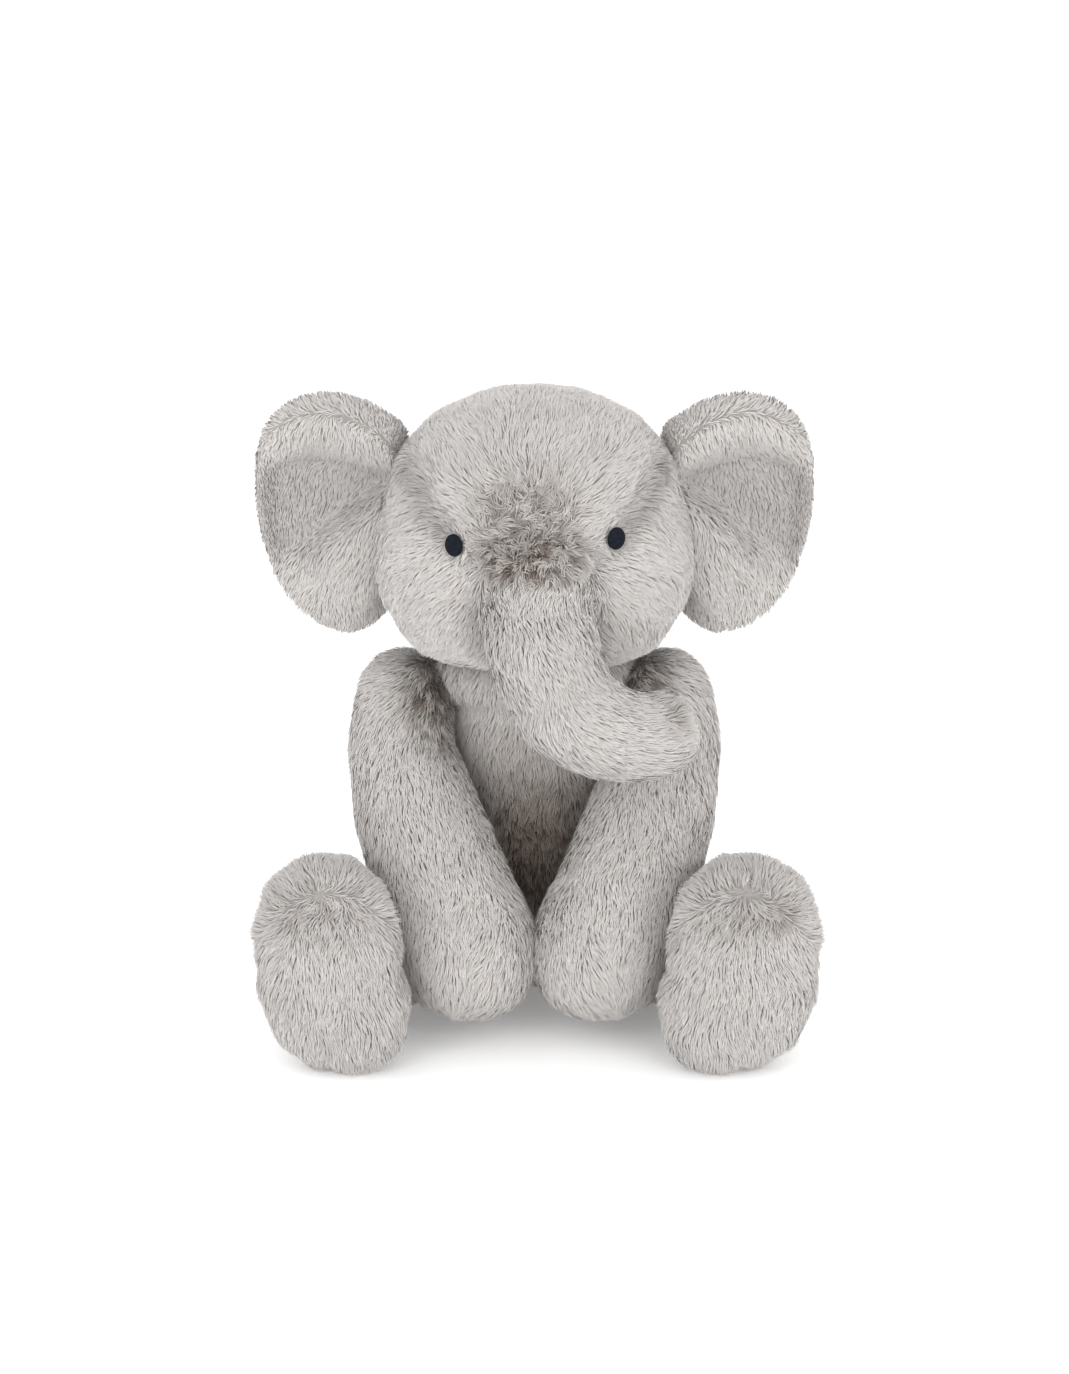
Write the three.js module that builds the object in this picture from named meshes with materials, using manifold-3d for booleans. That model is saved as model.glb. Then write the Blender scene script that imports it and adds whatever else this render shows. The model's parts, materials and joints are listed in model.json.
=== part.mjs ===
// Seated stuffed elephant: sewn plush skins over fibre stuffing, with jointed head, ears, trunk,
// arms, legs and tail. Millimetres, +Z up. The elephant faces -Y and its left side is +X.
// The origin is on the floor under the middle of the whole toy. Skins are drawn at the woven
// backing, so the pile stands about 5 mm proud of every surface here.
import * as THREE from 'three';
import { mergeVertices } from 'three/addons/utils/BufferGeometryUtils.js';
import Module from 'manifold-3d';

const wasm = await Module();
wasm.setup();

// Driving dimensions
const SKIN = 2.5; // backing, seam allowance and lining of a plush skin
const GAP = 0.3; // clearance between pieces that lie against each other
const JOINT_GAP = 0.9; // clearance where one body turns beside another
const DEPTH_SHIFT = 5.6; // moves the whole toy along +Y to centre it over the origin
const BEYOND = 600; // larger than the toy, for half spaces

// Head: sections from the chin up, [height, half width, half depth]
const HEAD_Y = -10;
const HEAD_SECTIONS = [[183, 58, 50], [200, 66.5, 56.5], [219, 68.5, 59], [240, 62.5, 56]];
const [, , HEAD_WIDEST] = HEAD_SECTIONS;
const HEAD_CHIN = 18;
const HEAD_CROWN = 45;
// The crown gusset's seams rise from beside the trunk to above the ears, [half width, height]
const GUSSET_FOOT = [29, 222];
const GUSSET_TOP = [55, 262];
const EAR_LINE = 2; // the gusset's front and back pieces meet along this line, behind the ears' roots

// Neck plug: a firm ball of stuffing that the head turns and nods on
const NECK = [0, 2, 164.5];
const NECK_RADIUS = 13;

// Eyes: oval pads of satin stitch, [x, z] on the face
const EYE_PLACES = { right: [-35, 228], left: [35.5, 231] };
const EYE_HALF = [4.4, 2.6, 5.5];

// Trunk: root ball, bend and blunt tip lie on one curve that turns to the elephant's left
const TRUNK_ROOT = [3, -52, 205];
const TRUNK_BEND = [14, -89, 164];
const TRUNK_BASE = [
  { at: TRUNK_ROOT, half: [20.5, 20.5] },
  { at: [1.5, -72, 197], half: [24, 22] },
  { at: [5, -84, 181], half: [22.5, 21] },
  { at: TRUNK_BEND, half: [19.5, 19.5] },
];
const TRUNK_TIP = [
  { at: TRUNK_BEND, half: [19.5, 19.5] },
  { at: [29, -89.5, 153.5], half: [19, 19] },
  { at: [45, -87, 149.5], half: [17.5, 17.5] },
  { at: [58.5, -82, 151], half: [15.5, 15.5] },
];
const TRUNK_TIP_CAP = 7;
const TRUNK_FOLD = [3, -60, 209]; // the face gives way here as the trunk lifts
const TRUNK_FOLD_RADIUS = 28.5;
const TRUNK_ROOM = 2; // clearance round the trunk where it leaves the face
const TRUNK_TIP_START = 10.5; // the tip's skin begins this far past the bend
const TRUNK_FRONT = [0.25, -1, 0.35]; // way the trunk's front panels face

// Ears: outline in the ear's own plane, [outward, up] from the hinge line
const EAR_HINGE = [66, 4, 226.5];
const EAR_OUTLINE = [
  [-9, 37], [2, 49], [15, 55.5], [30, 57], [45, 51], [55, 36.5], [58, 12.5],
  [54.5, -11], [44.5, -31], [31, -45.5], [17, -51], [6, -47.5], [-3, -38], [-7, -24], [-7, 6],
];
const EAR_MIDDLE = [26, 0];
const EAR_LAYERS = { back_panel: [-3.6, -1.3], wadding: [-1, 1], front_panel: [1.3, 3.6] };
const EAR_ROOM = 3; // clearance between an ear's root and the side of the head
const EAR_CUP = 12; // how far the rim stands forward of the middle
const EAR_SEGMENTS = 20;
const EAR_RINGS = 3;

// Body: sections from the seat up, [height, depth place, half width, half depth]
const BODY_SECTIONS = [
  [10, 36, 42, 36], [40, 36, 49, 42], [80, 32, 48, 41], [120, 22, 44, 36], [143, 14, 39, 30],
];
const SEAT_CAP = 14;
const BODY_CROWN = 17;
const BASE_RISE = 5.5; // the base panel turns up this far at its edge
const POUCH_TOP = 30; // pellets fill the body to this height

// Arm and leg on the elephant's left; the right ones are mirrored
const ARM = [
  { at: [59, 0, 144], half: [19.5, 19.5] },
  { at: [60, -12, 117], half: [22, 20] },
  { at: [46.5, -37, 80], half: [28, 21.5] },
  { at: [31, -58, 41], half: [27, 22] },
];
const ARM_SHOULDER_CAP = 19.5;
const ARM_PAW_CAP = 26;
const ARM_SEAM_LEAN = -0.33; // rise of the arm seam's outward side for each unit across
const LEG = [
  { at: [54.5, -8, 32], half: [22, 30.5] },
  { at: [82, -35, 36], half: [17.5, 34] },
  { at: [89, -66, 44.5], half: [24.5, 43] },
  { at: [89.5, -95, 48], half: [31, 46.5] },
];
const LEG_HIP_CAP = 22;
const LEG_SOLE_CAP = 15;
const SOLE_DEPTH = 3; // the sole seam runs this far behind the last full section

// Tail: a short rolled strip with a tuft, hanging behind the body
const TAIL = [
  { at: [0, 82.5, 56], half: [4.5, 4.5] },
  { at: [0, 88.5, 46], half: [4.2, 4.2] },
  { at: [0, 91.5, 34], half: [4, 4] },
];
const TAIL_TUFT = [
  { at: [0, 92.6, 27.5], half: [5.5, 5.5] },
  { at: [0, 93, 18], half: [6.5, 6.5] },
];
const TAIL_ROOT_CAP = 4.5;
const TAIL_END_CAP = 1;
const TUFT_CAPS = [4, 7];

// Facets round and along a form
const FINE = 20;
const MEDIUM = 12;
const SMALL = 10;

const grey = (shade) => new THREE.MeshStandardMaterial({
  color: new THREE.Color(0.76 * shade, 0.745 * shade, 0.73 * shade),
  roughness: 0.95,
  metalness: 0,
});
const PLUSH = () => grey(1);
const PLUSH_SHADED = () => grey(0.85);
const FIBRE = () => new THREE.MeshStandardMaterial({ color: 0xf2f0ea, roughness: 1, metalness: 0 });
const POUCH_CLOTH = () => new THREE.MeshStandardMaterial({ color: 0xd8d2c4, roughness: 0.9, metalness: 0 });
const THREAD = () => new THREE.MeshStandardMaterial({ color: 0x1c202a, roughness: 0.5, metalness: 0 });

const ALONG_X = new THREE.Vector3(1, 0, 0);
const ALONG_Y = new THREE.Vector3(0, 1, 0);
const ALONG_Z = new THREE.Vector3(0, 0, 1);

const elephant = new THREE.Group();
elephant.position.set(0, DEPTH_SHIFT, 0);

// --- Solids ---------------------------------------------------------------------------------

function toSolid(geometry) {
  const bare = geometry.clone();
  bare.deleteAttribute('normal');
  bare.deleteAttribute('uv');
  const merged = mergeVertices(bare, 1e-4);
  return new wasm.Manifold(new wasm.Mesh({
    numProp: 3,
    vertProperties: new Float32Array(merged.attributes.position.array),
    triVerts: new Uint32Array(merged.index.array),
  }));
}

function toGeometry(solid) {
  const mesh = solid.getMesh();
  const geometry = new THREE.BufferGeometry();
  geometry.setAttribute('position', new THREE.BufferAttribute(new Float32Array(mesh.vertProperties), 3));
  geometry.setIndex(new THREE.BufferAttribute(new Uint32Array(mesh.triVerts), 1));
  geometry.computeVertexNormals();
  return geometry;
}

function addNode(name, solid, material) {
  const mesh = new THREE.Mesh(toGeometry(solid), material);
  mesh.name = name;
  elephant.add(mesh);
}

// Closed surface through rings of points, with a single point before the first and after the last.
// From ring `turned` on, the facets' diagonals run the other way.
function closedRings(rings, first, last, turned = Infinity) {
  const sides = rings[0].length;
  const points = [first, ...rings.flat(), last];
  const end = points.length - 1;
  const faces = [];
  for (let i = 0; i < sides; i += 1) {
    const j = (i + 1) % sides;
    faces.push(0, 1 + j, 1 + i);
    faces.push(end, end - sides + i, end - sides + j);
    for (let r = 0; r < rings.length - 1; r += 1) {
      const low = 1 + r * sides;
      const high = low + sides;
      const quad = [low + i, low + j, high + j, high + i];
      const [a, b, c, d] = r < turned ? quad : [...quad.slice(1), quad[0]];
      faces.push(a, b, c, a, c, d);
    }
  }
  const geometry = new THREE.BufferGeometry();
  geometry.setFromPoints(points);
  geometry.setIndex(faces);
  const solid = toSolid(geometry);
  return solid.volume() > 0 ? solid : toSolid(flipped(geometry));
}

function flipped(geometry) {
  const turned = geometry.clone();
  const index = Array.from(turned.index.array);
  for (let i = 0; i < index.length; i += 3) {
    [index[i + 1], index[i + 2]] = [index[i + 2], index[i + 1]];
  }
  turned.setIndex(index);
  return turned;
}

const vec = (xyz) => new THREE.Vector3(...xyz);
const smoothCurve = (points, closed = false) => new THREE.CatmullRomCurve3(points, closed, 'centripetal');

// Soft form: elliptical sections along a curve, with rounded ends. `inset` shrinks it all round.
function softForm({ stations, across, startCap, endCap, sides, steps, capSteps = 3 }, inset = 0) {
  const path = smoothCurve(stations.map((s) => vec(s.at)));
  const sizes = smoothCurve(stations.map((s) => vec([...s.half, 0])));
  const sectionAt = (t, along, scale) => {
    const centre = path.getPoint(t);
    const ahead = path.getTangent(t);
    const side = across.clone().addScaledVector(ahead, -across.dot(ahead)).normalize();
    const other = new THREE.Vector3().crossVectors(ahead, side);
    const size = sizes.getPoint(t);
    centre.addScaledVector(ahead, along);
    const ring = [];
    for (let i = 0; i < sides; i += 1) {
      const turn = (2 * Math.PI * (i + 0.5)) / sides;
      const point = centre.clone();
      point.addScaledVector(side, Math.cos(turn) * (size.x - inset) * scale);
      point.addScaledVector(other, Math.sin(turn) * (size.y - inset) * scale);
      ring.push(point);
    }
    return { ring, centre };
  };
  const rings = [];
  for (let k = 1; k < capSteps; k += 1) {
    const angle = (Math.PI / 2) * (k / capSteps);
    rings.push(sectionAt(0, -(startCap - inset) * Math.cos(angle), Math.sin(angle)).ring);
  }
  for (let k = 0; k <= steps; k += 1) {
    rings.push(sectionAt(k / steps, 0, 1).ring);
  }
  for (let k = capSteps - 1; k > 0; k -= 1) {
    const angle = (Math.PI / 2) * (k / capSteps);
    rings.push(sectionAt(1, (endCap - inset) * Math.cos(angle), Math.sin(angle)).ring);
  }
  const first = sectionAt(0, -(startCap - inset), 0).centre;
  const last = sectionAt(1, endCap - inset, 0).centre;
  return closedRings(rings, first, last);
}

function ball(centre, radius, facets = MEDIUM) {
  const sphere = new THREE.SphereGeometry(radius, facets, facets / 2);
  sphere.translate(...centre);
  return toSolid(sphere);
}

// Everything on the side of a plane that its normal points to, starting `offset` from the plane
function halfSpace(point, normal, offset) {
  const box = new THREE.BoxGeometry(BEYOND, BEYOND, BEYOND);
  box.translate(0, 0, BEYOND / 2 + offset);
  box.applyQuaternion(new THREE.Quaternion().setFromUnitVectors(ALONG_Z, normal.clone().normalize()));
  box.translate(point.x, point.y, point.z);
  return toSolid(box);
}

// The two sides of a solid, parted along a plane with the sewing gap between them
function parted(solid, point, normal) {
  return [
    solid.intersect(halfSpace(point, normal, GAP / 2)),
    solid.intersect(halfSpace(point, normal.clone().negate(), GAP / 2)),
  ];
}

function skinAndFilling(form) {
  const outer = softForm(form);
  return {
    skin: outer.subtract(softForm(form, SKIN)),
    filling: softForm(form, SKIN + GAP),
  };
}

function biggest(solid) {
  return solid.decompose().sort((a, b) => b.volume() - a.volume())[0];
}

const mirrored = (stations, sign) => stations.map((s) => ({ ...s, at: [sign * s.at[0], s.at[1], s.at[2]] }));
const SIDES = { left: 1, right: -1 };

// --- Head -----------------------------------------------------------------------------------

const headForm = {
  stations: HEAD_SECTIONS.map(([z, ...half]) => ({ at: [0, HEAD_Y, z], half })),
  across: ALONG_X,
  startCap: HEAD_CHIN,
  endCap: HEAD_CROWN,
  sides: FINE,
  steps: 4,
  capSteps: 4,
};
const neckSocket = ball(NECK, NECK_RADIUS + JOINT_GAP, FINE);
const trunkBaseForm = {
  across: ALONG_X,
  sides: SMALL,
  steps: 4,
  stations: TRUNK_BASE,
  startCap: TRUNK_BASE[0].half[0],
  endCap: TRUNK_BASE.at(-1).half[0],
};
const trunkSocket = ball(TRUNK_ROOT, TRUNK_BASE[0].half[0] + JOINT_GAP, MEDIUM)
  .add(ball(TRUNK_FOLD, TRUNK_FOLD_RADIUS, MEDIUM))
  .add(softForm(trunkBaseForm, -TRUNK_ROOM));

function buildHead() {
  const { skin, filling } = skinAndFilling(headForm);
  const openSkin = skin.subtract(neckSocket).subtract(trunkSocket);
  let gusset = openSkin;
  for (const [side, sign] of Object.entries(SIDES)) {
    const seamFoot = vec([sign * GUSSET_FOOT[0], 0, GUSSET_FOOT[1]]);
    const outward = vec([sign * (GUSSET_TOP[1] - GUSSET_FOOT[1]), 0, GUSSET_FOOT[0] - GUSSET_TOP[0]]);
    const cheek = openSkin
      .intersect(halfSpace(seamFoot, outward, GAP / 2))
      .intersect(halfSpace(vec([0, 0, 0]), vec([sign, 0, 0]), GAP / 2));
    addNode(`head_${side}_panel`, biggest(cheek), PLUSH());
    gusset = gusset.intersect(halfSpace(seamFoot, outward.negate(), GAP / 2));
  }
  const [backStrip, frontStrip] = parted(gusset, vec([0, EAR_LINE, 0]), ALONG_Y);
  addNode('head_centre_gusset', biggest(frontStrip), PLUSH_SHADED());
  addNode('head_back_gusset', biggest(backStrip), PLUSH_SHADED());
  addNode('head_stuffing', biggest(filling.subtract(neckSocket).subtract(trunkSocket)), FIBRE());
}

function buildEyes() {
  const faceForm = softForm(headForm, -GAP);
  for (const [side, [x, z]] of Object.entries(EYE_PLACES)) {
    const [, halfWidth, halfDepth] = HEAD_WIDEST;
    const reach = Math.sqrt(1 - (x / halfWidth) ** 2) * halfDepth;
    const pad = new THREE.SphereGeometry(1, SMALL, SMALL / 2);
    pad.scale(...EYE_HALF);
    pad.rotateZ(Math.atan2(x, reach));
    pad.translate(x, HEAD_Y - reach, z);
    addNode(`eye_${side}`, biggest(toSolid(pad).subtract(faceForm)), THREAD());
  }
}

// --- Trunk ----------------------------------------------------------------------------------

function trunkPanels(name, form, cut) {
  const { skin, filling } = skinAndFilling(form);
  const middle = vec(form.stations[1].at);
  const [front, back] = parted(cut(skin), middle, vec(TRUNK_FRONT));
  addNode(`${name}_front_panel`, biggest(front), PLUSH());
  addNode(`${name}_back_panel`, biggest(back), PLUSH_SHADED());
  addNode(`${name}_stuffing`, biggest(cut(filling)), FIBRE());
}

function buildTrunk() {
  trunkPanels('trunk_base', trunkBaseForm, (solid) => solid);
  const tipForm = {
    across: ALONG_Y,
    sides: SMALL,
    steps: 4,
    stations: TRUNK_TIP,
    startCap: 1 + SKIN + GAP,
    endCap: TRUNK_TIP_CAP,
  };
  const bend = vec(TRUNK_BEND);
  const onward = vec(TRUNK_TIP[1].at).sub(bend);
  const pastBend = halfSpace(bend, onward, TRUNK_TIP_START);
  const socket = ball(TRUNK_BEND, TRUNK_TIP[0].half[0] + JOINT_GAP, FINE);
  trunkPanels('trunk_tip', tipForm, (solid) => solid.intersect(pastBend).subtract(socket));
}

// --- Ears -----------------------------------------------------------------------------------

// One layer of an ear between two distances from its middle surface; +1 is the concave front
function earLayer(sign, [low, high]) {
  const outline = smoothCurve(EAR_OUTLINE.map((point) => vec([...point, 0])), true)
    .getSpacedPoints(EAR_SEGMENTS)
    .slice(0, EAR_SEGMENTS);
  const place = (u, v, reach, lift) => {
    const cup = EAR_CUP * reach ** 2 * THREE.MathUtils.smoothstep(u, 0, EAR_MIDDLE[0]);
    return new THREE.Vector3(
      sign * (EAR_HINGE[0] + u), EAR_HINGE[1] - cup - lift, EAR_HINGE[2] + v,
    );
  };
  const ringAt = (reach, lift) => outline.map((p) => place(
    EAR_MIDDLE[0] + (p.x - EAR_MIDDLE[0]) * reach, EAR_MIDDLE[1] + (p.y - EAR_MIDDLE[1]) * reach, reach, lift,
  ));
  const reaches = Array.from({ length: EAR_RINGS }, (_, i) => (i + 1) / EAR_RINGS);
  const rings = [
    ...reaches.map((reach) => ringAt(reach, low)),
    ...reaches.reverse().map((reach) => ringAt(reach, high)),
  ];
  return closedRings(rings, place(...EAR_MIDDLE, 0, low), place(...EAR_MIDDLE, 0, high), EAR_RINGS);
}

function buildEars() {
  const headRoom = softForm(headForm, -EAR_ROOM);
  for (const [side, sign] of Object.entries(SIDES)) {
    for (const [layer, span] of Object.entries(EAR_LAYERS)) {
      const material = layer === 'wadding' ? FIBRE() : PLUSH();
      addNode(`ear_${side}_${layer}`, biggest(earLayer(sign, span).subtract(headRoom)), material);
    }
  }
}

// --- Body -----------------------------------------------------------------------------------

function buildBody() {
  const form = {
    stations: BODY_SECTIONS.map(([z, y, ...half]) => ({ at: [0, y, z], half })),
    across: ALONG_X,
    startCap: SEAT_CAP,
    endCap: BODY_CROWN,
    sides: FINE,
    steps: 6,
  };
  const floor = vec([0, 0, 0]);
  const seated = (inset) => softForm(form, inset).intersect(halfSpace(floor, ALONG_Z, inset));
  const outer = seated(0);
  const inner = seated(SKIN);
  const filling = seated(SKIN + GAP).subtract(neckSocket);
  const [upper, base] = parted(outer.subtract(inner).subtract(neckSocket), vec([0, 0, BASE_RISE]), ALONG_Z);
  addNode('body_base_panel', base, PLUSH_SHADED());
  const [, seatDepth] = BODY_SECTIONS[0];
  const [topHeight, topDepth] = BODY_SECTIONS.at(-1);
  const sideSeam = vec([0, topHeight, seatDepth - topDepth]);
  const [back, front] = parted(upper, vec([0, seatDepth, 0]), sideSeam);
  for (const [half, solid] of [['front', front], ['back', back]]) {
    const [left, right] = parted(solid, floor, ALONG_X);
    addNode(`body_${half}_left_panel`, biggest(left), PLUSH());
    addNode(`body_${half}_right_panel`, biggest(right), PLUSH());
  }
  const [fibre, pellets] = parted(filling, vec([0, 0, POUCH_TOP]), ALONG_Z);
  addNode('body_stuffing', biggest(fibre), FIBRE());
  addNode('pellet_pouch', pellets, POUCH_CLOTH());
  addNode('neck_stuffing', ball(NECK, NECK_RADIUS, MEDIUM), FIBRE());
}

// --- Arms, legs and tail --------------------------------------------------------------------

function buildArms() {
  for (const [side, sign] of Object.entries(SIDES)) {
    const form = {
      stations: mirrored(ARM, sign),
      across: ALONG_X,
      startCap: ARM_SHOULDER_CAP,
      endCap: ARM_PAW_CAP,
      sides: MEDIUM,
      steps: 4,
    };
    const { skin, filling } = skinAndFilling(form);
    const elbow = vec(form.stations[1].at).lerp(vec(form.stations[2].at), 0.5);
    const [left, right] = parted(skin, elbow, vec([1, 0, sign * ARM_SEAM_LEAN]));
    addNode(`arm_${side}_outer_panel`, biggest(sign > 0 ? left : right), PLUSH());
    addNode(`arm_${side}_inner_panel`, biggest(sign > 0 ? right : left), PLUSH_SHADED());
    addNode(`arm_${side}_stuffing`, filling, FIBRE());
  }
}

function buildLegs() {
  for (const [side, sign] of Object.entries(SIDES)) {
    const form = {
      stations: mirrored(LEG, sign),
      across: ALONG_X,
      startCap: LEG_HIP_CAP,
      endCap: LEG_SOLE_CAP,
      sides: MEDIUM,
      steps: 4,
    };
    const { skin, filling } = skinAndFilling(form);
    const ankle = vec(form.stations.at(-2).at);
    const toe = vec(form.stations.at(-1).at);
    const forward = toe.clone().sub(ankle).setZ(0).normalize();
    const soleSeam = toe.clone().addScaledVector(forward, -SOLE_DEPTH);
    const [sole, tube] = parted(skin, soleSeam, forward);
    addNode(`foot_${side}_sole`, biggest(sole), PLUSH());
    const hip = vec(form.stations[0].at);
    const along = toe.clone().sub(hip).setZ(0);
    const sideways = new THREE.Vector3().crossVectors(ALONG_Z, along).multiplyScalar(sign);
    const [outer, inner] = parted(tube, hip.clone().lerp(toe, 0.5), sideways);
    addNode(`leg_${side}_outer_panel`, biggest(outer), PLUSH());
    addNode(`leg_${side}_inner_panel`, biggest(inner), PLUSH_SHADED());
    addNode(`leg_${side}_stuffing`, filling, FIBRE());
  }
}

function buildTail() {
  const common = { across: ALONG_X, sides: SMALL, steps: 3 };
  const strip = { ...common, stations: TAIL, startCap: TAIL_ROOT_CAP, endCap: TAIL_END_CAP };
  const tuft = { ...common, stations: TAIL_TUFT, startCap: TUFT_CAPS[0], endCap: TUFT_CAPS[1] };
  addNode('tail_strip', softForm(strip), PLUSH());
  addNode('tail_tuft', biggest(softForm(tuft).subtract(softForm(strip, -GAP))), PLUSH_SHADED());
}

buildHead();
buildEyes();
buildTrunk();
buildEars();
buildBody();
buildArms();
buildLegs();
buildTail();

export default elephant;
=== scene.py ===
import json
import math

import bmesh
import bpy
import numpy as np
from mathutils import Matrix, Vector, kdtree


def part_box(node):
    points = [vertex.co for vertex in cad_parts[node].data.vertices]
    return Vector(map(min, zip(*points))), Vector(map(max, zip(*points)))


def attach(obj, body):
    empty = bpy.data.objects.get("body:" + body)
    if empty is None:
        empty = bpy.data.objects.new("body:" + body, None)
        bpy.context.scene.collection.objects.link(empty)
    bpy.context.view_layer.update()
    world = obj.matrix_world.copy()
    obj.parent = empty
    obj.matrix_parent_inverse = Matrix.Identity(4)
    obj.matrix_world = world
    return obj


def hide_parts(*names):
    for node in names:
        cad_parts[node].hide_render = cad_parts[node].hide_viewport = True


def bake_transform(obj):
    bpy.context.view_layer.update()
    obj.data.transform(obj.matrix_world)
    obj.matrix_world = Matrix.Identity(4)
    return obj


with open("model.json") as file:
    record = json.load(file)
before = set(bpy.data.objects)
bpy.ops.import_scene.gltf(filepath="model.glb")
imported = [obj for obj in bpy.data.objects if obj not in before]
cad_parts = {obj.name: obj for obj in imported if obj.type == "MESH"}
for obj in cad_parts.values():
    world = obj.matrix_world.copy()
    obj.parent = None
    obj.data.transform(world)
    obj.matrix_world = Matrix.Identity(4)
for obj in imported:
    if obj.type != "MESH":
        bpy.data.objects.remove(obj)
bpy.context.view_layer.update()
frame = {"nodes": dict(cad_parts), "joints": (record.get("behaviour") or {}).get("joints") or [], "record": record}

MM = 0.001
SIDES = {"left": 1, "right": -1}
BODIES = frame["record"]["behaviour"]["bodies"]
PIVOTS = {joint["name"]: np.array(joint["pos_m"]) for joint in frame["joints"]}

# Pile: how dense it is, and the shape of one tuft
DENSITY = 1.5e6  # tufts per square metre
TUFT_WIDTH = 0.62 * MM
TUFT_BEND = 0.45  # share of a tuft's length below its bend
ROOT_DEPTH = 0.4 * MM  # a tuft starts this far under the skin
ROOT_RISE = 0.55  # how steeply a tuft leaves the skin where the pile lies flat
TIP_RISE = 0.10  # and how steeply it runs on past its bend
CLUMP_AREA = 5e-6  # one clump of tufts per this much skin, in square metres
CLUMP_SPACING = 6 * MM  # a tuft farther than this from its clump's leader stands alone
CLUMP_PULL = 0.28  # how far a tuft's tip is drawn to its leader's
COLOUR_PLACES = np.array([0, 0, 0.55, 0.55, 1])  # how far along the colour ramps its five points are
LEAN = np.array([0, 0, 0.15, 0.15, 0.3])  # how far the normals of those points turn the way it lies
SCATTER = np.array([0, -0.08, 0.22])  # pile passes light on from above, so its underside is not dark
FLOOR_CLEARANCE = 0.2 * MM  # of the tufts
SKIN_CLEARANCE = 0.4 * MM

# Length of the pile, and how light it is beside its plain colour
HEAD_PILE = 7.4 * MM
TRUNK_TIP_PILE, TRUNK_TIP_TONE = 7.2 * MM, 0.91
EAR_PILE = 6.6 * MM
TORSO_PILE = 7.8 * MM
NECK_PILE = 6 * MM
ARM_PILE, ARM_TONE = 7.6 * MM, 0.96
LEG_PILE, LEG_TONE = 7.6 * MM, 0.88
TAIL_PILE = 6.5 * MM
NECK_PLUG = 14.5 * MM  # radius of the filling between head and torso


# --- Numbers ----------------------------------------------------------------------------------

def node_box(*names):
    """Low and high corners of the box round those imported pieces."""
    corners = np.array([[list(c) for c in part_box(name)] for name in names])
    return corners[:, 0].min(0), corners[:, 1].max(0)


def unit(vectors):
    return vectors / np.maximum(np.linalg.norm(vectors, axis=-1, keepdims=True), 1e-9)


def smoothstep(low, high, value):
    t = np.clip((value - low) / (high - low), 0, 1)
    return t * t * (3 - 2 * t)


def bell(value, width):
    return np.exp(-((value / width) ** 2))


def mixed(a, b, share):
    """From vectors a to vectors b by that share, which is one number or one for each of them."""
    return a + (b - a) * np.asarray(share)[..., None]


def mixed_number(a, b, share):
    return a + (b - a) * share


def dots(a, b):
    return (a * b).sum(-1)


def evenly(value):
    """The same number at all points."""
    return lambda points: np.full(len(points), value)


def straight(direction):
    """A nap that lies the same way everywhere."""
    return lambda points, normals: np.tile(direction, (len(points), 1))


def noise(points, size, seed=0):
    """Smooth noise from 0 to 1 with features of that size, hashed from a cubic lattice."""
    cell = points / size + 31.7 * (seed + 1)
    base = np.floor(cell).astype(np.int64)
    part = cell - base
    part = part * part * (3 - 2 * part)
    total = np.zeros(len(points))
    for corner in np.ndindex(2, 2, 2):
        key = (base + corner) @ np.array([73856093, 19349663, 83492791]) + seed * 6542989
        key = (key ^ (key >> 13)) * 1274126177
        value = ((key ^ (key >> 16)) & 0xFFFF) / 0xFFFF
        total += value * np.where(corner, part, 1 - part).prod(1)
    return total


# --- Materials --------------------------------------------------------------------------------

def new_material(name, roughness, sheen=0.0):
    material = bpy.data.materials.new(name)
    material.use_nodes = True
    tree = material.node_tree
    shader = tree.nodes["Principled BSDF"]
    shader.inputs["Roughness"].default_value = roughness
    shader.inputs["Sheen Weight"].default_value = sheen
    shader.inputs["Sheen Roughness"].default_value = 0.5
    shader.inputs["Specular IOR Level"].default_value = 0.25
    return material, tree, shader


def node(tree, kind, **inputs):
    made = tree.nodes.new(kind)
    for name, value in inputs.items():
        made.inputs[name].default_value = value
    return made


def ramp(tree, factor, stops):
    made = tree.nodes.new("ShaderNodeValToRGB")
    while len(made.color_ramp.elements) < len(stops):
        made.color_ramp.elements.new(0.5)
    for element, (place, colour) in zip(made.color_ramp.elements, stops):
        element.position = place
        element.color = (*colour, 1)
    tree.links.new(factor, made.inputs["Fac"])
    return made.outputs["Color"]


def colour_mix(tree, kind, factor, a, b):
    made = tree.nodes.new("ShaderNodeMix")
    made.data_type = "RGBA"
    made.blend_type = kind
    made.clamp_result = False
    for socket, value in zip(MIX_INPUTS, (factor, a, b)):
        if hasattr(value, "is_linked"):
            tree.links.new(value, made.inputs[socket])
        else:
            made.inputs[socket].default_value = value
    return made.outputs[MIX_RESULT]


MIX_INPUTS = (0, 6, 7)  # a colour mix's factor and its two colours
MIX_RESULT = 2

# Colours along a tuft, from its root to its tip
PILE_TONES = [
    (0.0, (0.445, 0.422, 0.405)),
    (0.3, (0.52, 0.495, 0.476)),
    (0.65, (0.595, 0.569, 0.548)),
    (1.0, (0.655, 0.628, 0.606)),
]
BROWN_TONES = [
    (0.0, (0.034, 0.024, 0.018)),
    (0.4, (0.1, 0.075, 0.059)),
    (0.8, (0.25, 0.205, 0.175)),
    (1.0, (0.44, 0.388, 0.347)),
]


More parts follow.
